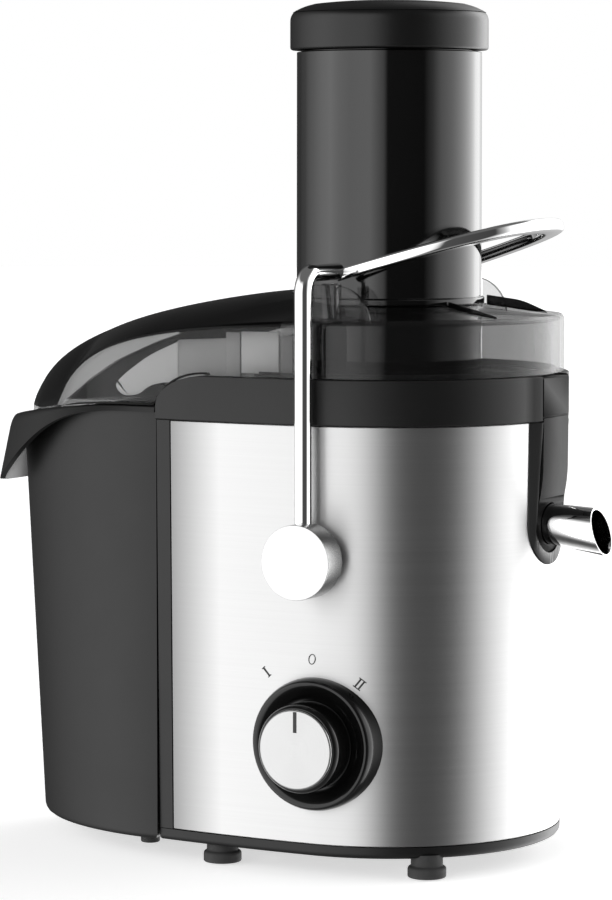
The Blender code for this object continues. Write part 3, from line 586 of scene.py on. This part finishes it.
def make_spout():
    """Bright tube whose mouth is cut on a slant, with a thin rolled lip."""
    steps = 96
    along_axis = Vector((math.cos(SPOUT_TILT), 0, -math.sin(SPOUT_TILT)))
    up = Vector((math.sin(SPOUT_TILT), 0, math.cos(SPOUT_TILT)))
    root, lean = Vector((SPOUT_X, 0, SPOUT_Z)), Vector((32.0, 0, 9.2)).normalized()
    mouth = Vector((104.0, 0, 150.0))
    outer, inner = [], []
    for k in range(15):
        rows = ([], [])
        for i in range(steps):
            a = 2 * math.pi * i / steps
            for row, wall in zip(rows, (0.0, 0.7)):
                side = up * math.cos(a) + Vector((0, 1, 0)) * math.sin(a)
                first, last = root + side * (8.9 - wall), root + along_axis * 26 + side * (10.2 - wall)
                run = (last - first).normalized()
                cut = (mouth - first).dot(lean) / run.dot(lean)
                row.append(first - run * 6 + run * (cut + 6) * k / 14)
        outer.append(rows[0])
        inner.append(rows[1])
    lip = [[(a + b) / 2 + along_axis * 0.2 for a, b in zip(outer[-1], inner[-1])]]
    mesh = to_mesh("spout_tube", skin(outer + lip + inner[::-1], loop=True))
    piece("spout_tube", mesh, CHROME, "base", ["spout"])


# ---------------------------------------------------------------- lid, tube and pusher

def rim_z(x):
    """Height of the bin's rim, which sinks towards the nose."""
    return SEAM_Z - 11.0 * max(0.0, (-x - 100.0) / 87.6) ** 1.6


def lid_edge(x):
    """Height of the lid's lower edge: above the collar, down its dip and along the bin's rim."""
    if x > BODY_LEFT + DIP - 2:
        return RIM_Z + 0.6
    if x < BODY_LEFT:
        return rim_z(x) + 0.9
    c = 1 - (x - BODY_LEFT) / (DIP - 2)
    return SEAM_Z + 0.9 + math.sqrt(max(1 - c * c, 0)) * (RIM_Z - SEAM_Z)


def lid_half(x):
    """Half width of the lid at x, left of the motor axis."""
    if x >= BODY_LEFT:
        return side_half(x, 1.0)
    u = min((x - BODY_LEFT) / (LID_LEFT - BODY_LEFT), 1.0)
    return side_half(BODY_LEFT, 1.0) * (1 - u ** 1.98) ** (1 / 1.98)


def lid_outline(angle):
    """Plan point of the lid's edge in a direction from the motor axis."""
    dx, dy = math.cos(angle), math.sin(angle)
    if dx >= 0:
        return LID_R * dx, LID_R * dy
    low, high = 0.0, 220.0
    for _ in range(40):
        mid = (low + high) / 2
        low, high = (mid, high) if abs(mid * dy) < lid_half(mid * dx) and mid * dx > LID_LEFT else (low, mid)
    return low * dx, low * dy


def crease_z(x):
    """Height where the lid's side wall turns into its top."""
    run = max(x - CREASE_LEFT, 0.0)
    start = rim_z(CREASE_LEFT)
    return start + (SHOULDER_Z - start) * (1 - math.exp(-(run / 27.8) ** 0.79))


def roof_z(x, y):
    """Height of the hood over a plan point: a ridge line that arches down to the crease."""
    u = min(max((x - LID_LEFT) / (-TUBE_R - 2.2 - LID_LEFT), 0.0), 1.0)
    nose = rim_z(LID_LEFT) + 1.5
    ridge = nose + (HOOD_TOP_Z - nose) * (1 - (1 - u) ** 1.245) ** 0.375
    low = max(crease_z(x), lid_edge(min(x, CREASE_LEFT)) + 1.0)
    return ridge - (ridge - low) * min(abs(y) / max(lid_half(min(x, 0)), 0.01), 1.0) ** 2.05


BRIM = [(-132.5, 203.3), (-116.5, 214.4), (-98.7, 224.1), (-77.7, 232.6), (-66.8, 236.0)]
LID_WALL_STEPS, LID_BRIM_STEPS, LID_ROOF_STEPS = 6, 3, 44
HOOD_RIGHT = -14
WINDOW = [(-70, 232.5), (-86, 226, 6), (-99.5, 217, 5), (-104.5, 212, 3), (-100, 207, 3), (-92, 207.5, 3),
          (-86, 212, 3), (-79, 213.5), (-70, 213.5)]
PANE = [(-71.4, 232.2), (-86, 225.8, 6), (-99.2, 216.8, 5), (-104.1, 212, 3), (-99.9, 207.3, 3),
        (-91.8, 207.8, 3), (-85.8, 212.3, 3), (-79, 213.8), (-71.4, 213.8)]
GUIDES = {"guide": (-71.2, -14, 205, 236, 66.4, 67.6, GUIDE),
          "guide_rib": (-46, -39, 206, 237, 67.8, 69.4, GUIDE),
          "guide_window": (-38.6, -20, 219, 237.5, 67.8, 69, GUIDE_PALE)}


def brim_z(x):
    """Lower border of the painted pale band under the hood's crease."""
    for (ax, az), (bx, bz) in zip(BRIM, BRIM[1:]):
        if x < bx:
            return az + (bz - az) * max((x - ax) / (bx - ax), -2.0)
    return BRIM[-1][1] + (x - BRIM[-1][0]) * 0.3


def lid_point(angle, k):
    """A point on the lid, k steps up its wall and over its top towards the feed tube."""
    x, y = lid_outline(angle)
    edge = lid_edge(x) - 0.4
    top = max(crease_z(x), edge + 1.6)
    line = min(max(brim_z(x), edge + 0.3), top - 1.3)
    foot = min(0.9, (line - edge) / LID_WALL_STEPS)
    if k < LID_WALL_STEPS:
        up = foot + (line - edge - foot) * (k - 1) / (LID_WALL_STEPS - 1) if k else 0
        return Vector((x, y, edge + up))
    if k < LID_WALL_STEPS + LID_BRIM_STEPS:
        return Vector((x, y, line + (top - 1.2 - line) * (k - LID_WALL_STEPS) / LID_BRIM_STEPS))
    s = ((k - LID_WALL_STEPS - LID_BRIM_STEPS) / LID_ROOF_STEPS) ** 2
    bore = TUBE_R + 2.2
    px, py = x + (bore * math.cos(angle) - x) * s, y + (bore * math.sin(angle) - y) * s
    ease = min(s / 0.035, 1.0)
    drum = top - 1.2 * (1 - ease) ** 2 + (DRUM_TOP_Z - top) * (0.15 + 0.85 * s) * ease
    hood = roof_z(px, py) - 1.2 * (1 - min(s / 0.012, 1.0)) ** 2
    return Vector((px, py, drum + (hood - drum) * smooth((-x - 5) / 55)))


def make_lid():
    """Clear cover. Its walls, drum top, hood roof, brim and side walls differ in tint; painted shade darkens
    the hood roof and the lowest row by the bin, and the brim carries a painted pale band.
    """
    looks = [SMOKE_WALL, SMOKE_TOP, SMOKE_ROOF_PAINTED_SHADE, SMOKE_BRIM_PAINTED_LIGHT, SMOKE_SIDE]
    around, up = 288, LID_WALL_STEPS + LID_BRIM_STEPS + LID_ROOF_STEPS
    rings = [[lid_point(2 * math.pi * i / around, k) for i in range(around)] for k in range(up + 1)]
    bm = skin(rings, caps=False)
    for index, face in enumerate(bm.faces):
        x = (face.calc_center_median() / MM).x
        row = index // around
        # painted shade: the lowest row along the collar's dip and the bin takes the dark roof tint
        if row == 0 and x < BODY_LEFT + DIP:
            face.material_index = 2
        elif row < LID_WALL_STEPS + LID_BRIM_STEPS:
            # painted light: the brim rows under the hood's crease take the pale tint
            brim = row >= LID_WALL_STEPS and x < BRIM[-1][0]
            face.material_index = 3 if brim else (4 if x < HOOD_RIGHT else 0)
        else:
            # painted shade: the hood roof takes the dark tint
            face.material_index = 2 if x < HOOD_RIGHT else 1
    lid = piece("lid_cover", to_mesh("lid_cover", bm), looks, "base", ["lid"])
    wall = lid.modifiers.new("wall", "SOLIDIFY")
    wall.thickness = 2.0 * MM
    wall.offset = -1
    settle(lid, 30)
    for side, word in ((-1, "front"), (1, "rear")):
        make_lid_fittings(side, word)


def two_tone(name, outline, low, high, facing, rim, face, width):
    """A plate whose narrow sides and broad faces differ in material, with softened edges."""
    mesh = prism(name, outline, low, high, facing)
    for polygon in mesh.polygons[-2:]:
        polygon.material_index = 1
    return softened(piece(name, mesh, [rim, face], "base"), width)


def make_lid_fittings(side, word):
    """Latch rib, its post, and the liner and guide that stand inside the hood."""
    arch = [(-2, 241.5), (-2, 258.6)] + arc(9, 241, 17.2, 88, 5, 24) + [(26.1, 241.5)]
    near, far = sorted((side * 70.0, side * 72.6))
    two_tone(f"latch_rib_{word}", arch, near, far, "Y", RIB_EDGE, RIB_FACE, 0.4)
    near, far = sorted((side * 68.0, side * 74.4))
    post = prism("post", rectangle(3.4, 10.6, near, far), 241.6, 259.2, "Z")
    softened(piece(f"latch_post_{word}", post, SMOKE_TOP, "base"), 0.8)
    near, far = sorted((side * 66.4, side * 67.6))
    liner = [(-71.5, 205), (-71.5, 233.6)] + [(x, z - 0.6) for x, z in reversed(BRIM[1:4])] + [(-129.0, 205)]
    sheet = piece(f"hood_liner_{word}", prism("liner", liner, near, far, "Y"), SMOKE_LINER, "base")
    boolean(sheet, prism("window", eased(WINDOW), near - 3, far + 3, "Y"))
    # painted light: the pane fills the liner's window with pale plastic for the brightness seen through the
    # hood
    piece(f"hood_pane_{word}", prism("pane", eased(PANE), near + 0.1, far - 0.1, "Y"), GUIDE_PALE, "base")
    tall, tip = (0.0, 77.0) if side < 0 else (2.0, 71.0)
    fin = [(TUBE_R + 2.6, 247.6), (TUBE_R + 2.6, 250.0 + tall), (60, 247.6 + tall, 4), (tip, 244.6),
           (tip + 0.4, 243.6), (60, 245.2)]
    fin = two_tone(f"top_fin_{word}", eased(fin), -0.6, 0.6, "Y", RIB_EDGE, RIB_EDGE, 0.2)
    fin.rotation_euler.z = math.radians(27 * side)
    for name, (left, right, low, high, start, end, look) in GUIDES.items():
        near, far = sorted((side * start, side * end))
        outline = [(left, low), (right, low), (right, high), (left, high - 3 * (name == "guide"))]
        softened(piece(f"{name}_{word}", prism(name, outline, near, far, "Y"), look, "base"), 0.3)


def make_tube():
    """Feed tube, with the thin ring where it meets the lid."""
    r, wall = TUBE_R, 2.5
    profile = eased([(r - wall, TUBE_LOW), (r, TUBE_LOW), (r, 236), (r + 0.4, 240), (r + 0.4, 247.6, 0.3),
                     (r + 1.5, 248.4, 0.5), (r + 1.6, 251.2, 0.7), (r + 0.1, 251.6, 0.2),
                     (r, TUBE_TOP - 0.4, 0.3), (r - wall, TUBE_TOP)], 5)
    piece("tube_wall", lathe("tube", profile, 192, loop=True), TUBE_BLACK, "base", ["feed_tube"])


def make_pusher():
    """Hollow piston under a round cap with a soft crown."""
    r, wall, foot, top = 37.8, 2.2, TUBE_LOW + 1, TUBE_TOP + 0.2
    profile = eased([(0, foot), (r - 1, foot), (r, foot + 0.6, 1.2), (r, top), (r - wall, top),
                     (r - wall, foot + wall, 1.5), (0, foot + wall)], 5)
    piece("pusher_piston", lathe("piston", profile, 160), TUBE_BLACK, "pusher", ["pusher_sleeve"])
    r = CAP_R
    profile = eased([(0, CAP_LOW), (r - 0.8, CAP_LOW), (r, CAP_LOW + 0.4, 0.8), (r, CAP_TOP - 6.4, 3.2),
                     (r * 0.86, CAP_TOP - 2.4, 6), (r * 0.5, CAP_TOP - 0.5, 12), (0, CAP_TOP)], 8)
    piece("pusher_lid", lathe("cap", profile, 192), CAP_BLACK, "pusher", ["pusher_cap"])


# ---------------------------------------------------------------- handle

def make_handle():
    """Two bent rods on round pivot discs, joined by the grip."""
    for side, word in ((-1, "front"), (1, "rear")):
        bend = ROD_BEND
        rise = [(ROD_X, side * ROD_Y, PIVOT_Z + 11 + k * 14.5) for k in range(8)]
        corner = [(ROD_X, side * (ROD_Y - bend + bend * math.cos(a)), ROD_TOP_Z - bend + bend * math.sin(a))
                  for a in (math.pi / 2 * k / 16 for k in range(17))]
        end = [(ROD_X + 0.3, side * 68, ROD_TOP_Z), (ROD_X + 0.6, side * (GRIP_HALF + 4.0), ROD_TOP_Z)]
        rod = along("rod", rise + corner + end, ROD_R, 40)
        piece(f"rod_{word}", rod, CHROME, "handle", [f"handle_arm_{word}"])
        turn = (math.pi / 2, 0, 0) if side < 0 else (-math.pi / 2, 0, 0)
        reach = FACE_Y - FACE_BACK_Y
        profile = eased([(0, 4.2), (15.2, 4.2), (16.3, 4.6, 0.7), (16.3, reach, 0.35), (0, reach)], 4)
        piece(f"pivot_disc_{word}", lathe("disc", profile, 128), PIVOT_METAL, "handle", [f"pivot_cap_{word}"],
              (PIVOT_X, side * FACE_BACK_Y, PIVOT_Z), turn)
    make_grip()


def make_grip():
    """The flat loop: an oblong bar swept round half an oval, rising towards the spout."""
    steps = 96
    section = []
    for u, v, start in ((3.4, 1.0, 0), (-3.4, 1.0, 90), (-3.4, -1.0, 180), (3.4, -1.0, 270)):
        section += arc(u, v, 1.6, start, start + 90, 6)
    rings = []
    for i in range(steps + 1):
        a = math.pi * (i / steps - 0.5)
        x = GRIP_X + GRIP_REACH * max(math.cos(a), 0.0)
        y = math.copysign(GRIP_HALF * abs(math.sin(a)) ** 0.8, a)
        z = GRIP_Z + (x - GRIP_X) * GRIP_SLOPE
        tangent = Vector((-GRIP_REACH * math.sin(a), GRIP_HALF * math.cos(a), 0)).normalized()
        across = Vector((tangent.y, -tangent.x, tangent.y * GRIP_SLOPE)).normalized()
        lift = across.cross(Vector((tangent.x, tangent.y, tangent.x * GRIP_SLOPE)).normalized())
        lift = lift if lift.z > 0 else -lift
        rings.append([Vector((x, y, z)) + across * u + lift * v for u, v in section])
    piece("grip_loop", to_mesh("grip", skin(rings)), CHROME, "handle", ["handle_grip"])


# ---------------------------------------------------------------- controls

def make_dial():
    """Bezel let into the steel, skirt, spun face and its pointer line."""
    spot = {"at": (KNOB_X, -FACE_BACK_Y, KNOB_Z), "turn": (math.pi / 2, 0, 0)}
    profile = eased([(9.5, -9), (29.4, -9), (29.2, 1.5, 2), (27.7, 4.7, 1.6), (25.4, 4.1, 1.2),
                     (20.6, 0.8, 1), (9.5, 0.8)], 5)
    mesh = lathe("bezel", profile, 160, loop=True)
    bezel = piece("dial_bezel", mesh, GLOSS, "base", ["knob_bezel"], **spot)
    body = prism("body", body_outline(draft(60) - 0.15), 10, 120, "Z")
    body.transform(bezel.matrix_world.inverted() @ Matrix.Translation(AXIS))
    boolean(bezel, body)
    top, r = FACE_Y - FACE_BACK_Y, SKIRT_R
    profile = eased([(0, 1.6), (r - 1, 1.6), (r, 2.4, 0.6), (r, top - 3.0, 1.0), (18.0, top - 1.3, 0.4),
                     (17.6, top - 1.3), (0, top - 1.3)], 5)
    piece("dial_skirt", lathe("skirt", profile, 128), GLOSS, "dial", ["knob_skirt"], **spot)
    r = KNOB_FACE_R
    profile = eased([(0, top - 1.0), (r, top - 1.0), (r, top - 0.5, 0.3), (16.8, top, 0.3), (0, top)], 4)
    piece("dial_face", lathe("face", profile, 128), KNOB_METAL, "dial", ["knob_cap"], **spot)
    line = prism("pointer", rectangle(-0.85, 0.85, 7.5, 16.6), top - 0.4, top + 0.08, "Z")
    piece("dial_pointer", line, INK, "dial", **spot)
    make_marks()


def mark(name, outline_loops, x, z, lean):
    """Printed mark on the steel, bent round the body and leaning with the dial."""
    lean = math.radians(lean)
    bm = bmesh.new()
    for loop in outline_loops:
        verts = []
        for u, v in loop:
            px = x + u * math.cos(lean) + v * math.sin(lean)
            pz = z - u * math.sin(lean) + v * math.cos(lean)
            y = -math.sqrt((BODY_R - draft(pz)) ** 2 - px ** 2) if px > 0 else -side_half(px, draft(pz))
            verts.append(bm.verts.new(Vector((px, y - 0.04, pz)) * MM))
        bm.faces.new(verts)
    piece(name, to_mesh(name, bm, False), INK, "base")


def bar(u, v, wide, tall):
    return rectangle(u - wide / 2, u + wide / 2, v - tall / 2, v + tall / 2)


def make_marks():
    """Off and the two speeds, round the dial."""
    low_speed = [bar(0, 0, 0.9, 4.8), bar(0, 2.3, 2.0, 0.45), bar(0, -2.3, 2.0, 0.45)]
    high_speed = [bar(-0.9, 0, 0.8, 4.6), bar(0.9, 0, 0.8, 4.6), bar(0, 2.2, 3.8, 0.45),
                  bar(0, -2.2, 3.8, 0.45)]
    ring = []
    for k in range(20):
        a, b = 2 * math.pi * k / 20, 2 * math.pi * (k + 1) / 20
        ring.append([(1.8 * math.cos(a), 2.4 * math.sin(a)), (1.8 * math.cos(b), 2.4 * math.sin(b)),
                     (1.25 * math.cos(b), 2.0 * math.sin(b)), (1.25 * math.cos(a), 2.0 * math.sin(a))])
    mark("mark_low", low_speed, -21.0, 89.0, -42)
    mark("mark_off", ring, 1.6, 96.0, 12)
    mark("mark_high", high_speed, 23.0, 86.0, 38)


# ---------------------------------------------------------------- pulp bin

def bin_outline(inset=0.0, shorten=0.0, steps=120):
    """Plan of the bin: a blunt nose on a flat back."""
    right, half = BIN_RIGHT - inset, BIN_HALF - inset
    length = BIN_LEN - shorten - 2 * inset
    nose, power = [], 2 / 1.8
    for i in range(steps + 1):
        a = math.pi * (i / steps - 0.5)
        u, v = abs(math.cos(a)) ** power, abs(math.sin(a)) ** power
        nose.append((right - length * u, math.copysign(half * v, a)))
    return nose


def make_bin():
    """Pulp bin with its lip, two feet, and the gap that pulp comes in over."""
    z, wall, ledge, floor = BASE_Z, 2.0, 5.0, 2.4
    levels = [(z, 5.0), (z, 2.2), (z + 0.7, 1.0), (z + 1.8, 0.3), (z + 3, 0.0)]
    levels += [(z + 3 + (185 - z) * k / 11, 0) for k in range(1, 11)]
    rings = [ring_of(bin_outline(inset, bin_shorten(h)), h) for h, inset in levels]
    for inset, drop in ((0, 0), (ledge, 0), (ledge, 2.4), (wall, 5.4)):
        rings.append([(x, y, rim_z(x) - drop) for x, y in bin_outline(inset)])
    for h, inset in ((80, wall), (z + floor + 2, wall + 0.4), (z + floor, wall + 3)):
        rings.append(ring_of(bin_outline(inset, bin_shorten(h)), h))
    moulding = piece("bin_moulding", to_mesh("bin", skin(rings)), MATTE, "bin", ["pulp_bin"])
    half = [(58, 186, 6), (66, 190, 4), (69, 198, 4), (69, 215)]
    spill = [(-y, *rest) for y, *rest in reversed(half)] + half
    boolean(moulding, prism("spill", eased(spill), -90, BIN_RIGHT + 1, "X"))
    piece("bin_lip", make_lip(), MATTE, "bin")
    for side in (-1, 1):
        nub = lathe("nub", eased([(0, 0), (3.6, 0), (4.4, 0.2, 0.6), (4.4, 10)], 3), 40)
        piece(f"bin_nub_{side + 2}", nub, RUBBER, "bin", (), (NUB_X, side * NUB_Y, 0))


def bin_shorten(z):
    """How much shorter the bin is at a height than at its rim."""
    return BIN_DRAFT * (SEAM_Z - z) / (SEAM_Z - BASE_Z)


def make_lip():
    """An awning round the bin's rim that deepens into a pull at the nose."""
    outline, thick = bin_outline(0.3), 1.8
    deepest = rim_z(BIN_RIGHT - BIN_LEN) - LIP_EDGE_Z - LIP_SHALLOW
    sections = []
    for k, (x, y) in enumerate(outline):
        before, after = outline[max(k - 1, 0)], outline[min(k + 1, len(outline) - 1)]
        tangent = Vector((after[0] - before[0], after[1] - before[1], 0)).normalized()
        out = Vector((-tangent.y, tangent.x, 0))
        side = min(abs(y) / BIN_HALF, 1.0)
        top = rim_z(x)
        reach = 1.4 + 9.8 * (1 - side ** 4)
        drop = LIP_SHALLOW + deepest * (1 - side ** 4) ** 3.15
        curve = eased([(0, 0), (0.3, 0.0, 0.1), (0.5, 0.1, 0.15), (1.0, 1.0)], 6)
        outside = [(reach * u + 0.3, top + 0.02 - drop * v) for u, v in curve]
        inside = [((reach - thick) * u - 0.4, top - thick - (drop - thick) * v) for u, v in curve]
        loop = [(-0.8, top + 0.02)] + outside[1:] + inside[:0:-1] + [(-0.8, top - thick)]
        sections.append([Vector((x, y, 0)) + out * u + Vector((0, 0, z)) for u, z in loop])
    return to_mesh("lip", skin(sections))


# ---------------------------------------------------------------- inside, and finishes for the CAD nodes

def make_basket():
    """Sieve cone with a rolled rim."""
    rim = cad("filter_basket")[1].z
    profile = eased([(0, 192.7), (45.5, 192.7), (46.4, 193.2, 0.6), (65, rim - 4, 0.8),
                     (68, rim - 2.6, 0.6), (68, rim, 0.5), (66.8, rim, 0.4), (66.6, rim - 1.6, 0.4),
                     (64, rim - 2.4, 0.4), (45, 194, 0.6), (0, 193.9)], 3)
    piece("sieve_basket", lathe("sieve", profile, 128), SIEVE, "rotor", ["filter_basket"])


def finish_cad_nodes():
    """Materials for the CAD nodes that stay as they are."""
    finishes = {
        MATTE: ["inner_housing", "pivot_bush_front", "pivot_bush_rear", "switch_body", "interlock_switch",
                "drive_coupling", "basket_hub", "cooling_fan"],
        SHEET_METAL: ["motor_shaft", "upper_bearing", "lower_bearing", "grating_disc", "pivot_pin_front",
                      "pivot_pin_rear", "knob_shaft", "upper_bracket", "lower_bracket"]
        + [f"base_screw_{k}" for k in range(1, 5)],
        IRON: ["motor_stator"],
        COPPER: ["armature", "commutator", "brush_holder_front", "brush_holder_rear"],
        RUBBER: ["bowl_seal", "cord_gland"] + [f"motor_mount_{k}" for k in range(1, 5)],
        BOARD: ["control_board"],
    }
    for material, names in finishes.items():
        for name in names:
            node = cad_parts[name]
            node.data.materials.clear()
            node.data.materials.append(material)
            shade(node.data, 32)


# ---------------------------------------------------------------- stage, light and camera

def make_stage():
    """A pale round floor just under the feet. Mirrors and glosses see past it to the studio."""
    bm = bmesh.new()
    bmesh.ops.create_circle(bm, cap_ends=True, segments=96, radius=9.0)
    floor = place("floor", to_mesh("floor", bm))
    m = Nodes("pale_floor", (0.86, 0.86, 0.86), 0.9, Specular_IOR_Level=0.1)
    m.link(m.mix(m.noise(1.5), grey(0.85), grey(0.87)), "Base Color")
    m.put("Emission Color", grey(1.0))
    m.put("Emission Strength", 0.6)
    floor.data.materials.append(m.mat)
    floor.location.z = -0.0004
    floor.visible_glossy = False


# Brightness of the studio by heading in degrees, and of its ceiling and floor between two slopes.
STUDIO = [(-180, 2.2), (-154, 0.05), (-138, 0.06), (-120, 0.12), (-103, 0.35), (-83, 1.2), (-67, 2.1),
          (-52, 2.75), (-38, 2.35), (-24, 2.15), (-10, 2.25), (2, 2.3), (12, 1.5), (19, 1.0), (24, 0.08),
          (70, 0.06), (82, 0.55), (94, 1.5), (112, 2.2), (140, 3.9), (162, 5.0), (180, 2.8)]
CEILING_AND_FLOOR = [(0.14, 0.45, 0.75), (0.3, -0.5, -0.9)]


def make_world():
    """A studio of soft boxes: bright front left and back right, with a dark gap between them."""
    world = bpy.data.worlds.new("studio")
    world.use_nodes = True
    bpy.context.scene.world = world
    tree = world.node_tree
    tree.nodes.clear()

    def add(kind, inputs=None, **props):
        return add_node(tree, kind, inputs, **props)

    where = add("ShaderNodeTexCoord").outputs["Generated"]
    x, y, z = add("ShaderNodeSeparateXYZ", {0: where}).outputs
    minus = add("ShaderNodeMath", {0: y, 1: -1}, operation="MULTIPLY").outputs[0]
    turn = add("ShaderNodeMath", {0: x, 1: minus}, operation="ARCTAN2").outputs[0]
    around = add("ShaderNodeMapRange", {"Value": turn, "From Min": -math.pi, "From Max": math.pi})
    ramp = add("ShaderNodeValToRGB", {"Fac": around.outputs["Result"]})
    elements = ramp.color_ramp.elements
    elements[0].position, elements[0].color = 0, grey(STUDIO[0][1])
    elements[1].position, elements[1].color = 1, grey(STUDIO[-1][1])
    for degrees, value in STUDIO[1:-1]:
        elements.new((degrees + 180) / 360).color = grey(value)
    light = ramp.outputs["Color"]
    for value, start, end in CEILING_AND_FLOOR:
        part = add("ShaderNodeMapRange", {"Value": z, "From Min": start, "From Max": end}).outputs["Result"]
        light = add("ShaderNodeMix", {0: part, 6: light, 7: grey(value)}, data_type="RGBA").outputs[2]
    seen = add("ShaderNodeLightPath").outputs["Is Camera Ray"]
    final = add("ShaderNodeMix", {0: seen, 6: light, 7: grey(1.0)}, data_type="RGBA").outputs[2]
    shade_node = add("ShaderNodeBackground", {"Color": final})
    add("ShaderNodeOutputWorld", {"Surface": shade_node.outputs[0]})


def make_camera():
    """A long lens to the right of the front, looking slightly down."""
    data = bpy.data.cameras.new("camera")
    data.lens = CAMERA_LENS
    data.sensor_width = 36
    data.clip_end = 50
    camera = place("camera", data)
    azimuth, reach = math.radians(CAMERA_AZIMUTH), CAMERA_REACH
    camera.location = AXIS + Vector((reach * math.sin(azimuth), -reach * math.cos(azimuth), CAMERA_Z)) * MM
    camera.rotation_euler = (math.radians(90 - CAMERA_DIP), 0, math.radians(CAMERA_HEADING))
    bpy.context.scene.camera = camera
    bpy.context.scene.view_settings.view_transform = "Standard"


make_camera()
make_world()
make_stage()
make_steel()
make_collar()
make_base()
make_surround()
make_feet()
make_bowl()
make_spout()
make_lid()
make_tube()
make_pusher()
make_handle()
make_dial()
make_bin()
make_basket()
finish_cad_nodes()
